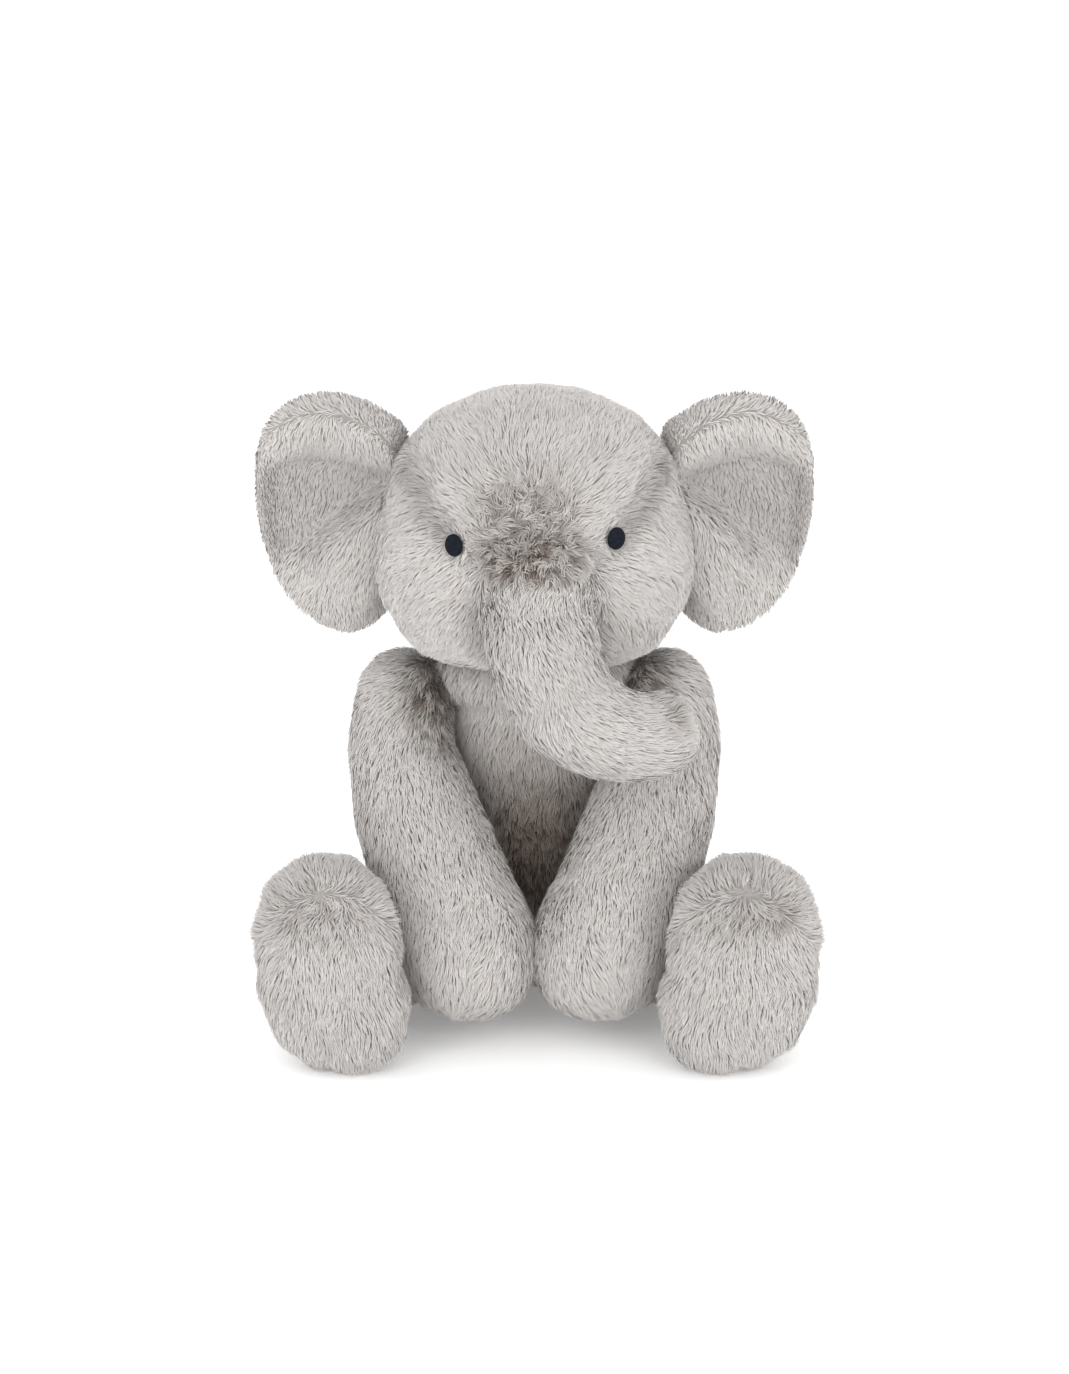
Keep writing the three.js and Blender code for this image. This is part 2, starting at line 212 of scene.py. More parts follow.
def pile_material():
    """Grey at the root and pale at the tip, with browner roots showing where the pile parts; the same brown is
    partly painted shade on the lower belly and in the ears' parting creases.
    """
    material, tree, shader = new_material("pile", 0.85, sheen=0.35)
    pile = node(tree, "ShaderNodeAttribute")
    pile.attribute_name = "pile"
    parts = tree.nodes.new("ShaderNodeSeparateXYZ")
    tree.links.new(pile.outputs["Vector"], parts.inputs["Vector"])
    along, brown, shade = parts.outputs
    grey = ramp(tree, along, PILE_TONES)
    dark = ramp(tree, along, BROWN_TONES)
    colour = colour_mix(tree, "MIX", brown, grey, dark)
    colour = colour_mix(tree, "MULTIPLY", 1.0, colour, shade)
    tree.links.new(colour, shader.inputs["Base Color"])
    return material


def backing_material():
    """The knitted ground that the pile grows from, seen only between tufts; its grey, darker than the pile's, is
    partly the knit's own colour and partly painted shade for the depth between tufts.
    """
    material, tree, shader = new_material("backing", 0.95)
    fine = node(tree, "ShaderNodeTexNoise", Scale=1400.0, Detail=3.0, Roughness=0.7)
    broad = node(tree, "ShaderNodeTexNoise", Scale=90.0, Detail=4.0, Roughness=0.6)
    place = tree.nodes.new("ShaderNodeTexCoord")
    for texture in (fine, broad):
        tree.links.new(place.outputs["Object"], texture.inputs["Vector"])
    # darker grey: partly painted shade for the depth between tufts
    thread = ramp(tree, fine.outputs["Fac"], [(0.3, (0.31, 0.293, 0.28)), (0.7, (0.42, 0.40, 0.386))])
    patch = ramp(tree, broad.outputs["Fac"], [(0.35, (0.75, 0.74, 0.73)), (0.7, (1, 1, 1))])
    tree.links.new(colour_mix(tree, "MULTIPLY", 1.0, thread, patch), shader.inputs["Base Color"])
    bump = node(tree, "ShaderNodeBump", Strength=0.5, Distance=0.0004)
    tree.links.new(fine.outputs["Fac"], bump.inputs["Height"])
    tree.links.new(bump.outputs["Normal"], shader.inputs["Normal"])
    return material


def thread_material():
    """Navy-black satin stitch of the eyes."""
    material, tree, shader = new_material("eye_thread", 0.75)
    shader.inputs["Specular IOR Level"].default_value = 0.1
    place = tree.nodes.new("ShaderNodeTexCoord")
    fine = node(tree, "ShaderNodeTexNoise", Scale=900.0, Detail=2.0)
    tree.links.new(place.outputs["Object"], fine.inputs["Vector"])
    colour = ramp(tree, fine.outputs["Fac"], [(0.3, (0.004, 0.006, 0.010)), (0.75, (0.011, 0.014, 0.022))])
    tree.links.new(colour, shader.inputs["Base Color"])
    return material


PILE = pile_material()
BACKING = backing_material()
THREAD = thread_material()


# --- Skins ------------------------------------------------------------------------------------

def add_object(name, mesh, material):
    obj = bpy.data.objects.new(name, mesh)
    bpy.context.scene.collection.objects.link(obj)
    mesh.materials.clear()
    mesh.materials.append(material)
    return obj


def add_shell(name, verts, rows, spokes, material):
    """A closed piece from rows of as many points each, with a point in the middle of each end."""
    front, back = rows * spokes, rows * spokes + 1
    faces = [(front, i, (i + 1) % spokes) for i in range(spokes)]
    for r in range(rows - 1):
        for i in range(spokes):
            a, b = r * spokes + i, r * spokes + (i + 1) % spokes
            faces.append((a, a + spokes, b + spokes, b))
    last = (rows - 1) * spokes
    faces += [(back, last + (i + 1) % spokes, last + i) for i in range(spokes)]
    mesh = bpy.data.meshes.new(name)
    mesh.from_pydata([tuple(v) for v in verts], [], faces)
    shape = bmesh.new()
    shape.from_mesh(mesh)
    bmesh.ops.recalc_face_normals(shape, faces=shape.faces)
    shape.to_mesh(mesh)
    shape.free()
    mesh.polygons.foreach_set("use_smooth", np.ones(len(mesh.polygons), bool))
    return add_object(name, mesh, material)


def ellipsoid(centre, half):
    """A ball with those half widths, for filling a joint's socket under the skin."""
    return Matrix.Translation(Vector(centre)) @ Matrix.Diagonal((*half, 1))


def melted(name, nodes, fillers=(), voxel=2 * MM, rounds=14):
    """One smooth closed skin over pieces that are sewn together."""
    shape = bmesh.new()
    for cad_node in nodes:
        shape.from_mesh(frame["nodes"][cad_node].data)
    for matrix in fillers:
        bmesh.ops.create_icosphere(shape, subdivisions=4, radius=1, matrix=matrix)
    mesh = bpy.data.meshes.new(name)
    shape.to_mesh(mesh)
    shape.free()
    skin = add_object(name, mesh, BACKING)
    remesh = skin.modifiers.new("remesh", "REMESH")
    remesh.mode = "VOXEL"
    remesh.voxel_size = voxel
    smooth = skin.modifiers.new("smooth", "SMOOTH")
    smooth.iterations = rounds
    bake_modifiers(skin)
    skin.data.polygons.foreach_set("use_smooth", np.ones(len(skin.data.polygons), bool))
    return skin


def bake_modifiers(obj):
    """Puts what a skin's modifiers make into its mesh."""
    graph = bpy.context.evaluated_depsgraph_get()
    mesh = bpy.data.meshes.new_from_object(obj.evaluated_get(graph))
    obj.modifiers.clear()
    old = obj.data
    obj.data = mesh
    mesh.name = old.name
    bpy.data.meshes.remove(old)
    mesh.materials.clear()
    mesh.materials.append(BACKING)


def points_of(mesh):
    co = np.zeros(len(mesh.vertices) * 3)
    mesh.vertices.foreach_get("co", co)
    return co.reshape(-1, 3)


def normals_of(mesh):
    normals = np.zeros(len(mesh.vertices) * 3)
    mesh.vertex_normals.foreach_get("vector", normals)
    return normals.reshape(-1, 3)


def move_points(mesh, co):
    mesh.vertices.foreach_set("co", co.ravel())
    mesh.update()


def push(skin, depth):
    """Moves a skin's points inwards by depth(points)."""
    co = points_of(skin.data)
    co -= normals_of(skin.data) * depth(co)[:, None]
    move_points(skin.data, co)


def swell(skin, height):
    """Moves a skin's points outwards by height(points)."""
    push(skin, lambda points: -height(points))


def settle(skin):
    """Keeps a skin above the floor."""
    co = points_of(skin.data)
    co[:, 2] = np.maximum(co[:, 2], SKIN_CLEARANCE)
    move_points(skin.data, co)


# --- Pile -------------------------------------------------------------------------------------

class Whorl:
    """A place where the pile parts and its browner roots show; on the lower belly and along the ears' partings the
    brown is partly painted shade.
    """

    def __init__(self, centre, reach, brown, stretch=(1, 1, 1), turn=0.0, ruffle=0.0, drop=1.0, patchy=1.0):
        self.centre = np.array(centre)
        self.reach = reach
        self.brown = brown  # how much of the brown shows at the centre
        self.stretch = np.array(stretch)  # of its reach, along each axis
        self.turn = turn  # how far the tufts there point away from the centre
        self.ruffle = ruffle  # how far they lie every way
        self.drop = drop  # it ends this far below its centre, in metres
        self.patchy = patchy  # how much the brown comes and goes

    def share(self, points):
        away = np.linalg.norm((points - self.centre) / self.stretch, axis=1)
        inside = 1 - smoothstep(0.15 * self.reach, self.reach, away)
        return inside * smoothstep(self.drop, 0.75 * self.drop, self.centre[2] - points[:, 2])


def scatter(mesh, rng, density):
    """Points spread over a mesh, with their normals."""
    mesh.calc_loop_triangles()
    corners = np.zeros(len(mesh.loop_triangles) * 3, np.int64)
    mesh.loop_triangles.foreach_get("vertices", corners)
    corners = corners.reshape(-1, 3)
    co = points_of(mesh)[corners]
    areas = np.linalg.norm(np.cross(co[:, 1] - co[:, 0], co[:, 2] - co[:, 0]), axis=1) / 2
    running = areas.cumsum()
    count = int(running[-1] * density)
    picks = np.searchsorted(running, (np.arange(count) + rng.random(count)) / count * running[-1])
    picks = np.minimum(picks, len(areas) - 1)
    a, b = rng.random((2, count))
    over = a + b > 1
    a[over], b[over] = 1 - a[over], 1 - b[over]
    share = np.stack([1 - a - b, a, b], 1)[:, :, None]
    points = (co[picks] * share).sum(1)
    normals = unit((normals_of(mesh)[corners[picks]] * share).sum(1))
    return points, normals


def nearest(points, centres):
    """For each point, which centre is the nearest."""
    tree = kdtree.KDTree(len(centres))
    for i, centre in enumerate(centres):
        tree.insert(centre, i)
    tree.balance()
    return np.array([tree.find(point)[1] for point in points])


def grow(skin, nap, length, seed, whorls=(), bare=None, tone=None):
    """A coat of tufts over a skin.

    nap(points, normals) is the way the pile lies, length(points) its length, bare(points) where there is none,
    and tone(points) how light it is.
    """
    rng = np.random.default_rng(seed)
    points, normals = scatter(skin.data, rng, DENSITY)
    if bare is not None:
        keep = ~bare(points)
        points, normals = points[keep], normals[keep]
    lie, parting, brown = comb(points, normals, nap, whorls, rng, seed)
    co, leader = tufts(points, normals, lie, parting, length, rng, seed)
    clump_tone = 0.5 + 0.5 * noise(points[leader], 2.2 * MM, seed + 3)
    shade = (0.88 + 0.16 * clump_tone) * rng.uniform(0.92, 1.05, len(points))
    shade *= 0.96 + 0.06 * noise(points, 16 * MM, seed + 4)
    if tone is not None:
        shade *= tone(points)
    fleck = 1 - 0.5 * brown * smoothstep(0.5, 0.66, noise(points, 1.5 * MM, seed + 7))
    pile = np.zeros((len(points), 5, 3), np.float32)
    pile[:, :, 0] = fleck[:, None] * COLOUR_PLACES
    pile[:, :, 1] = brown[:, None]
    pile[:, :, 2] = shade[:, None]
    facing = np.repeat(normals[:, None], 5, 1) + SCATTER + unit(lie)[:, None] * LEAN[:, None]
    return ribbons(skin.name.replace("skin", "pile"), co, pile, unit(facing))


def comb(points, normals, nap, whorls, rng, seed):
    """The way each tuft lies along the skin, how far it parts from its neighbours, and how brown it is."""
    count = len(points)
    lie = nap(points, normals)
    parting = np.zeros(count)
    brown = np.zeros(count)
    ruffle = np.zeros(count)
    patches = 0.35 + 0.85 * smoothstep(0.34, 0.58, noise(points, 2.4 * MM, seed + 5))
    for whorl in whorls:
        share = whorl.share(points)
        lie = mixed(lie, unit(points - whorl.centre), share * whorl.turn)
        parting = np.maximum(parting, share * whorl.turn)
        brown = np.maximum(brown, share * whorl.brown * mixed_number(1, patches, whorl.patchy))
        ruffle = np.maximum(ruffle, share * whorl.ruffle)
    lie = unit(lie - normals * dots(lie, normals)[:, None] + 1e-6)
    across = np.cross(normals, lie)
    sway = 0.9 * (noise(points, 11 * MM, seed) - 0.5) + 0.55 * (noise(points, 3.2 * MM, seed + 1) - 0.5)
    sway += rng.normal(0, 0.14, count) + parting * rng.normal(0, 0.5, count)
    sway += ruffle * (7 * (noise(points, 2.4 * MM, seed + 6) - 0.5) + rng.normal(0, 0.5, count))
    lie = lie * np.cos(sway)[:, None] + across * np.sin(sway)[:, None]
    return lie, parting, np.minimum(brown, 1)


def tufts(points, normals, lie, parting, length, rng, seed):
    """Five points for each tuft, two at its root, two at its bend and its tip, and the leader of its clump."""
    count = len(points)
    long = length(points) * rng.uniform(0.78, 1.12, count) * (0.86 + 0.28 * noise(points, 4 * MM, seed + 2))
    long *= 1 - 0.25 * parting
    steep = ROOT_RISE + 0.5 * parting + rng.normal(0, 0.1, count)
    flat = TIP_RISE + 0.45 * parting + rng.normal(0, 0.1, count)
    middle = points + unit(lie + normals * steep[:, None]) * long[:, None] * TUFT_BEND
    tip = middle + unit(lie + normals * flat[:, None]) * long[:, None] * (1 - TUFT_BEND)
    leaders = rng.permutation(count)[: int(count / DENSITY / CLUMP_AREA)]
    leader = leaders[nearest(points, points[leaders])]
    pull = CLUMP_PULL * rng.uniform(0.6, 1.2, count) * (1 - 0.5 * parting)
    pull *= smoothstep(CLUMP_SPACING, CLUMP_SPACING / 2, np.linalg.norm(points - points[leader], axis=1))
    tip = mixed(tip, tip[leader], pull)
    middle = mixed(middle, middle[leader], 0.35 * pull)
    across = unit(np.cross(tip - points, normals) + 1e-9)
    twist = rng.normal(0, 0.35, count)[:, None]
    across = unit(across * np.cos(twist) + normals * np.sin(twist))
    half = across * TUFT_WIDTH * rng.uniform(0.38, 0.62, count)[:, None]
    roots = points - normals * ROOT_DEPTH
    co = np.stack([roots - half, roots + half, middle - half * 0.8, middle + half * 0.8, tip], 1)
    co[..., 2] = np.maximum(co[..., 2], FLOOR_CLEARANCE)
    return co, leader


def ribbons(name, co, pile, facing):
    """One mesh of bent, tapered tufts: a four-sided root half and a three-sided tip half each."""
    count = len(co)
    mesh = bpy.data.meshes.new(name)
    mesh.vertices.add(count * 5)
    mesh.vertices.foreach_set("co", co.astype(np.float32).ravel())
    corners = np.arange(count)[:, None] * 5 + np.array([0, 1, 3, 2, 2, 3, 4])
    mesh.loops.add(count * 7)
    mesh.loops.foreach_set("vertex_index", corners.astype(np.int32).ravel())
    starts = np.arange(count)[:, None] * 7 + np.array([0, 4])
    mesh.polygons.add(count * 2)
    mesh.polygons.foreach_set("loop_start", starts.astype(np.int32).ravel())
    mesh.polygons.foreach_set("use_smooth", np.ones(count * 2, bool))
    mesh.update(calc_edges=True)
    attribute = mesh.attributes.new("pile", "FLOAT_VECTOR", "POINT")
    attribute.data.foreach_set("vector", pile.ravel())
    mesh.normals_split_custom_set_from_vertices(facing.reshape(-1, 3))
    return add_object(name, mesh, PILE)


def finish_part(skin, pile, replaced, place):
    """Places both pieces with place(piece); they stand for the CAD pieces, which are hidden."""
    for piece in (skin, pile):
        place(piece)
    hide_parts(*replaced)


# --- Head and trunk ---------------------------------------------------------------------------

HEAD_NODES = [name for name in BODIES["head"] if not name.startswith("eye")]
HEAD_LOW, HEAD_HIGH = node_box(*HEAD_NODES)
HEAD_CENTRE = (HEAD_LOW + HEAD_HIGH) / 2
HEAD_HALF = (HEAD_HIGH - HEAD_LOW) / 2
TRUNK_ROOT = PIVOTS["trunk_lift"]
TRUNK_BEND = PIVOTS["trunk_curl"]
TIP_LOW, TIP_HIGH = node_box("trunk_tip_stuffing")
TRUNK_END = np.array([TIP_HIGH[0] - 4 * MM, TIP_HIGH[1] - 14 * MM, (TIP_LOW[2] + TIP_HIGH[2]) / 2])
TRUNK_GIRTH = 22.5 * MM  # its radius
TRUNK_SAMPLES = 40  # of the line along the middle of each of its two lengths
BRIDGE = TRUNK_ROOT + np.array([0, -7, 3]) * MM  # the broad root of the trunk between the eyes
BRIDGE_RADIUS = 27.5 * MM
FOREHEAD_WHORL = TRUNK_ROOT + np.array([-7, -20, 24]) * MM
FOREHEAD_SPECKS = FOREHEAD_WHORL + np.array([0, 0, 6 * MM])  # thin brown above, and the dark fold below it
FOREHEAD_FOLD = FOREHEAD_WHORL + np.array([2, 0, -3]) * MM
SEAM_FOOT = np.array([29, 222]) * MM  # the crown gusset's seams, [half width, height]
SEAM_TOP = np.array([55, 262]) * MM
EYES = {side: sum(node_box(f"eye_{side}")) / 2 for side in SIDES}


def bow(start, middle, end):
    """A curve from start to end, drawn towards the middle point."""
    t = np.linspace(0, 1, TRUNK_SAMPLES)[:, None]
    return (1 - t) ** 2 * start + 2 * t * (1 - t) * middle + t * t * end


def trunk_line():
    """Points along the middle of the trunk, and the way it runs at each."""
    knee = TRUNK_ROOT * 0.45 + TRUNK_BEND * 0.55 + np.array([-11, -15, 13]) * MM
    elbow = TRUNK_BEND * 0.55 + TRUNK_END * 0.45 + np.array([-1, -6, -14]) * MM
    line = np.concatenate([bow(TRUNK_ROOT, knee, TRUNK_BEND), bow(TRUNK_BEND, elbow, TRUNK_END)[1:]])
    return line, unit(np.gradient(line, axis=0))


TRUNK_LINE, TRUNK_RUN = trunk_line()


def along_trunk(points):
    return TRUNK_RUN[nearest(points, TRUNK_LINE)]


def head_nap(points, normals):
    """Away from the whorl between the eyes over the head, and down along the trunk."""
    spread = unit(points - FOREHEAD_WHORL)
    behind = smoothstep(-0.2, 0.8, (points[:, 1] - HEAD_CENTRE[1]) / HEAD_HALF[1])
    spread = mixed(spread, np.array([0, 0.1, -1.0]), 0.8 * behind)
    below = smoothstep(10 * MM, 40 * MM, FOREHEAD_WHORL[2] - points[:, 2])
    spread = mixed(spread, spread + np.array([0, 0, -1.2]), below)
    outside, _ = seam_place(points)
    droop = np.stack([np.sign(points[:, 0]) * 0.8, np.zeros(len(points)), np.full(len(points), -0.7)], 1)
    spread = mixed(spread, spread * 0.4 + droop, smoothstep(-1 * MM, 5 * MM, outside) * (1 - behind))
    for eye in EYES.values():
        near = 0.55 * smoothstep(14 * MM, 5 * MM, np.linalg.norm(points - eye, axis=1))
        spread = mixed(spread, unit(points - eye), near)
    return mixed(spread, along_trunk(points), on_trunk(points))


def beside_trunk(points):
    """How far points lie outside the trunk's own width."""
    return np.linalg.norm(points - TRUNK_LINE[nearest(points, TRUNK_LINE)], axis=1) - TRUNK_GIRTH


def on_trunk(points):
    return smoothstep(7 * MM, 2 * MM, beside_trunk(points))


def head_length(points):
    """The pile is shorter round the eyes."""
    eye_gap = np.min([np.linalg.norm(points - eye, axis=1) for eye in EYES.values()], axis=0)
    return HEAD_PILE * mixed_number(0.6, 1.0, smoothstep(5 * MM, 18 * MM, eye_gap))


def eye_hole(points):
    """Where an eye covers the skin, so that no pile grows through it."""
    inside = np.zeros(len(points), bool)
    for side, eye in EYES.items():
        low, high = node_box(f"eye_{side}")
        half = (high - low) / 2 + np.array([0.1, 4, 0.1]) * MM
        inside |= np.linalg.norm((points - eye) / half, axis=1) < 1
    return inside


def face_depth(points):
    """Dimples at the eyes, a crease beside the trunk and grooves along the crown gusset's seams."""
    depth = np.zeros(len(points))
    eye_room = np.ones(len(points))
    front = smoothstep(HEAD_CENTRE[1] + 10 * MM, HEAD_CENTRE[1] - 20 * MM, points[:, 1])
    for eye in EYES.values():
        away = np.linalg.norm(points - eye, axis=1)
        depth += 2.4 * MM * bell(away, 10 * MM)
        eye_room = np.minimum(eye_room, smoothstep(5 * MM, 11 * MM, away))
    under = smoothstep(FOREHEAD_WHORL[2] - 4 * MM, FOREHEAD_WHORL[2] - 22 * MM, points[:, 2])
    depth += 5 * MM * under * front * bell(beside_trunk(points) - 6 * MM, 4 * MM)
    outside, reach = seam_place(points)
    on = smoothstep(-14 * MM, 0, reach) * front
    return depth + 5.6 * MM * on * eye_room * bell(outside, 5.5 * MM)


def seam_place(points):
    """How far points lie outside the crown gusset's seam, and how far along it."""
    rise = unit(SEAM_TOP - SEAM_FOOT)
    from_foot = np.stack([np.abs(points[:, 0]), points[:, 2]], 1) - SEAM_FOOT
    return from_foot[:, 0] * rise[1] - from_foot[:, 1] * rise[0], from_foot @ rise


def head_swell(points):
    """The stuffing fills the cheeks out more than the crown."""
    low = smoothstep(HEAD_CENTRE[2] - 5 * MM, HEAD_CENTRE[2] - 30 * MM, points[:, 2])
    aside = smoothstep(12 * MM, 40 * MM, np.abs(points[:, 0]))
    return 1.2 * MM + 2.0 * MM * low * aside


def head_tone(points):
    """Painted shade in the hollows outside the crown gusset's seams, and a painted highlight on the ridges inside
    them.
    """
    outside, reach = seam_place(points)
    on = smoothstep(-4 * MM, 10 * MM, reach)
    # painted shade along the hollow outside each seam, and a painted highlight along the ridge inside it
    hollow = bell(outside - 2.5 * MM, 4.5 * MM) * on
    hollow *= smoothstep(HEAD_CENTRE[1], HEAD_CENTRE[1] - 20 * MM, points[:, 1])
    ridge = bell(outside + 5 * MM, 3 * MM) * on
    return 0.97 - 0.07 * on_trunk(points) - 0.3 * hollow + 0.05 * ridge


def build_head():
    skin = melted(
        "head_and_trunk_skin",
        HEAD_NODES + BODIES["trunk_base"],
        [ellipsoid(BRIDGE, (BRIDGE_RADIUS,) * 3), ellipsoid(PIVOTS["head_nod"], (NECK_PLUG,) * 3)],
    )
    swell(skin, head_swell)
    push(skin, face_depth)
    whorls = [
        Whorl(FOREHEAD_SPECKS, 35 * MM, 0.6, stretch=(1, 1, 1.1), turn=0.2, ruffle=1.0, drop=22 * MM),
        Whorl(FOREHEAD_FOLD, 26 * MM, 1.25, stretch=(1.25, 1, 0.7), turn=0.1, ruffle=0.9, drop=11 * MM),
    ]
    pile = grow(skin, head_nap, head_length, seed=11, whorls=whorls, bare=eye_hole, tone=head_tone)

    def place(piece):
        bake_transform(piece)

    finish_part(skin, pile, BODIES["trunk_base"] + HEAD_NODES, place)


def build_trunk_tip():
    """The fillers carry the tip on into the base, so that the bend shows no ring."""
    fillers = [
        ellipsoid(TRUNK_LINE[TRUNK_SAMPLES - 1 + k], ((20.2 - 0.12 * k) * MM,) * 3) for k in range(0, 15, 2)
    ]
    skin = melted("trunk_tip_skin", BODIES["trunk_tip"], fillers)
    swell(skin, evenly(1.0 * MM))
    whorls = [Whorl(TRUNK_END + np.array([-4, -9, 6]) * MM, 12 * MM, 0.3, turn=0.6)]
    pile = grow(skin, lambda points, normals: along_trunk(points), evenly(TRUNK_TIP_PILE), seed=12, whorls=whorls,
                tone=evenly(TRUNK_TIP_TONE))

    def place(piece):
        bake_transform(piece)

    finish_part(skin, pile, BODIES["trunk_tip"], place)


EYE_ROWS, EYE_SPOKES = 14, 96
EYE_DOME = 1.5 * MM
EYE_BACK = 0.6 * MM  # how far its rim goes under the pile
THREAD_WIDTH = 0.42 * MM  # and the width of the gap beside it
THREAD_RIDGE = 0.11 * MM


def build_eye(side):
    """An oval of satin stitch: a low dome with the threads lying across it as ridges."""
    low, high = node_box(f"eye_{side}")
    centre = (low + high) / 2
    half = (high - low) / 2 + np.array([0.6, 0.3, 0.0]) * MM
    out = unit((centre - HEAD_CENTRE) * np.array([1, 1, 0]))
    side_way = np.array([-out[1], out[0], 0])
    verts = []
    for r in np.linspace(0, 1, EYE_ROWS + 1)[1:]:
        for a in np.arange(EYE_SPOKES) / EYE_SPOKES * 2 * math.pi:
            u, v = r * math.cos(a), r * math.sin(a)
            thread = THREAD_RIDGE * math.sin(v * half[2] / THREAD_WIDTH * math.pi) * (1 - r ** 6)
            dome = EYE_DOME * math.sqrt(max(0.0, 1 - r ** 2.6))
            verts.append(centre + side_way * u * half[0] + np.array([0, 0, v * half[2]]) + out * (dome + thread))
    verts += [point - out * EYE_BACK for point in verts[-EYE_SPOKES:]]
    verts += [centre + out * EYE_DOME, centre - out * EYE_BACK]
    eye = add_shell(f"eye_{side}_stitching", verts, EYE_ROWS + 1, EYE_SPOKES, THREAD)
    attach(eye, "head")
    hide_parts(f"eye_{side}")


# --- Ears -------------------------------------------------------------------------------------

# Outline of an ear inside its box, [outward, up], from the top of the root round to its foot
EAR_OUTLINE = [
    (0.0, 0.815), (0.164, 0.926), (0.358, 0.986), (0.582, 1.0), (0.806, 0.944), (0.955, 0.81), (1.0, 0.588),
    (0.948, 0.37), (0.80, 0.185), (0.597, 0.051), (0.388, 0.0), (0.224, 0.032), (0.09, 0.12), (0.03, 0.25),
    (0.03, 0.528),
]
EAR_MIDDLE = np.array([0.45, 0.48])
EAR_ROOT = np.array([0.08, 0.655])  # the fold and the crease both start here, at the side of the head
EAR_SIZE = np.array([67, 108]) * MM
EAR_THICK = 7.2 * MM
EAR_SPOKES, EAR_ROWS = 96, 22  # rows from the middle to the rim on each face
CREASE_RUN = np.array([46, -35.0])  # the way the crease goes from the root, outwards and down


def ear_outline():
    """The outline as evenly spaced points on a closed smooth curve."""
    points = np.array(EAR_OUTLINE)
    count = len(points)
    dense = []
    for i in range(count):
        p0, p1, p2, p3 = (points[(i + k - 1) % count] for k in range(4))
        for t in np.linspace(0, 1, 24, endpoint=False):
            dense.append(0.5 * (2 * p1 + (p2 - p0) * t + (2 * p0 - 5 * p1 + 4 * p2 - p3) * t * t
                                + (3 * p1 - p0 - 3 * p2 + p3) * t ** 3))
    dense = np.array(dense)
    steps = np.linalg.norm(np.roll(dense, -1, 0) - dense, axis=1)
    along = np.concatenate([[0], steps.cumsum()])
    wanted = np.arange(EAR_SPOKES) / EAR_SPOKES * along[-1]
    closed = np.concatenate([dense, dense[:1]])
    return np.stack([np.interp(wanted, along, closed[:, k]) for k in (0, 1)], 1)


def fold_place(uv):
    """Distance above the lower edge of the ear's rolled top."""
    edge = 0.765 - 0.46 * (uv[..., 0] - 0.6) ** 2
    return (uv[..., 1] - edge) * EAR_SIZE[1]


def crease_place(uv):
    """Distance below the crease that runs down and out from the ear's root, and how far along it."""
    run = unit(CREASE_RUN)
    from_root = (uv - EAR_ROOT) * EAR_SIZE
    return -(from_root[..., 1] * run[0] - from_root[..., 0] * run[1]), from_root @ run


def parting_height(u):
    """The line near the top edge where the ear's pile parts."""
    return 0.915 - 0.75 * (u - 0.55) ** 2


def parting_place(uv):
    """Distance above that line."""
    return (uv[..., 1] - parting_height(uv[..., 0])) * EAR_SIZE[1]


def by_head(uv):
    """The ear's top end beside the head."""
    return smoothstep(0.3, 0.05, uv[:, 0]) * smoothstep(0.6, 0.8, uv[:, 1])


def ear_relief(uv, reach):
    """How far the ear's middle surface stands forward: a rolled top, a dish and a full lower lobe."""
    above = fold_place(uv)
    below, along = crease_place(uv)
    rim = smoothstep(1.0, 0.72, reach)
    roll = 11 * MM * smoothstep(-6 * MM, 11 * MM, above) * smoothstep(36 * MM, 14 * MM, above)
    roll = roll * mixed_number(0.35, 1.0, smoothstep(1.0, 0.62, uv[..., 0]))
    lobe = 13 * MM * smoothstep(-1 * MM, 9 * MM, below) * smoothstep(64 * MM, 22 * MM, below) * rim
    lobe = lobe * smoothstep(62 * MM, 40 * MM, along)
    fan = 0.5 * MM * np.sin(np.arctan2(below, np.abs(along) + 6 * MM) * 8) * smoothstep(0, 16 * MM, below) * rim
    dish = -5 * MM * smoothstep(2 * MM, -8 * MM, above) * smoothstep(4 * MM, -6 * MM, below) * rim
    root = smoothstep(0.0, 0.1, uv[..., 0])
    cup = 9 * MM * reach ** 2 * smoothstep(0, 0.45, uv[..., 0])
    groove = -1.2 * MM * bell(parting_place(uv), 2.2 * MM)
    return (roll + lobe + fan + dish) * root + cup + groove


